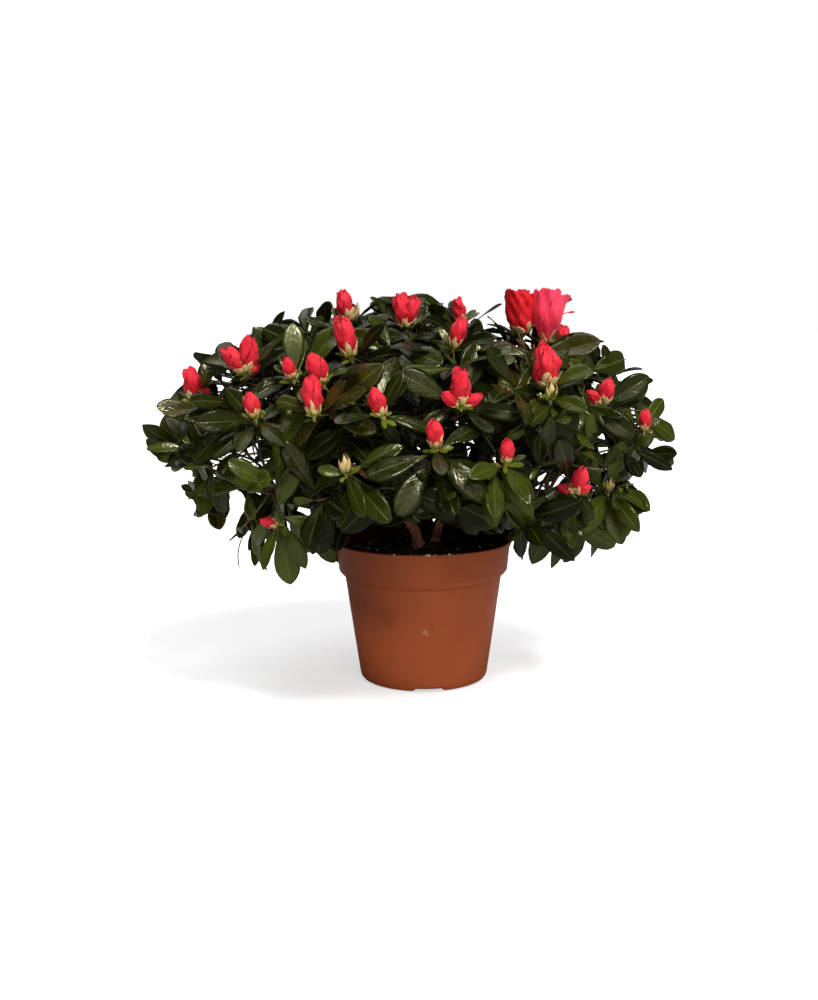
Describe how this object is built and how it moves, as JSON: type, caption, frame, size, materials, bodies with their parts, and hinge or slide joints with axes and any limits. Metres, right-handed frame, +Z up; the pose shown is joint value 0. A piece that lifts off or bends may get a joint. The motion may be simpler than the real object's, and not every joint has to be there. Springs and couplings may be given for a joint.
{
  "type": "potted azalea shrub",
  "caption": "Domed azalea shrub with dark leaves, red buds and half-open flowers on a short forked stem, in a round tapered plastic pot of peat.",
  "frame": {"origin": "middle of the pot's flat underside, on the surface that it stands on", "axes": "+Z up along the pot's axis, -Y towards the side that the picture shows, +X to the right of that view"},
  "size_m": [0.4237, 0.4038, 0.3095],
  "materials": {
    "pot": "semi-matt moulded",
    "peat": "matt crumbly",
    "bark": "matt bark",
    "foliage": "satin leaf"
  },
  "bodies": {
    "root": {"pot": "pot", "soil": "peat", "trunk": "bark", "second_stem": "bark", "bough_low_1": "bark", "bough_low_2": "bark", "bough_low_3": "bark", "bough_low_4": "bark", "bough_low_5": "bark", "bough_low_6": "bark", "bough_high_1": "bark", "bough_high_2": "bark", "bough_high_3": "bark", "bough_high_4": "bark", "bough_top": "bark", "foliage_low_1": "foliage", "foliage_low_2": "foliage", "foliage_low_3": "foliage", "foliage_low_4": "foliage", "foliage_low_5": "foliage", "foliage_low_6": "foliage", "foliage_high_1": "foliage", "foliage_high_2": "foliage", "foliage_high_3": "foliage", "foliage_high_4": "foliage", "foliage_top": "foliage"}
  },
  "joints": []
}
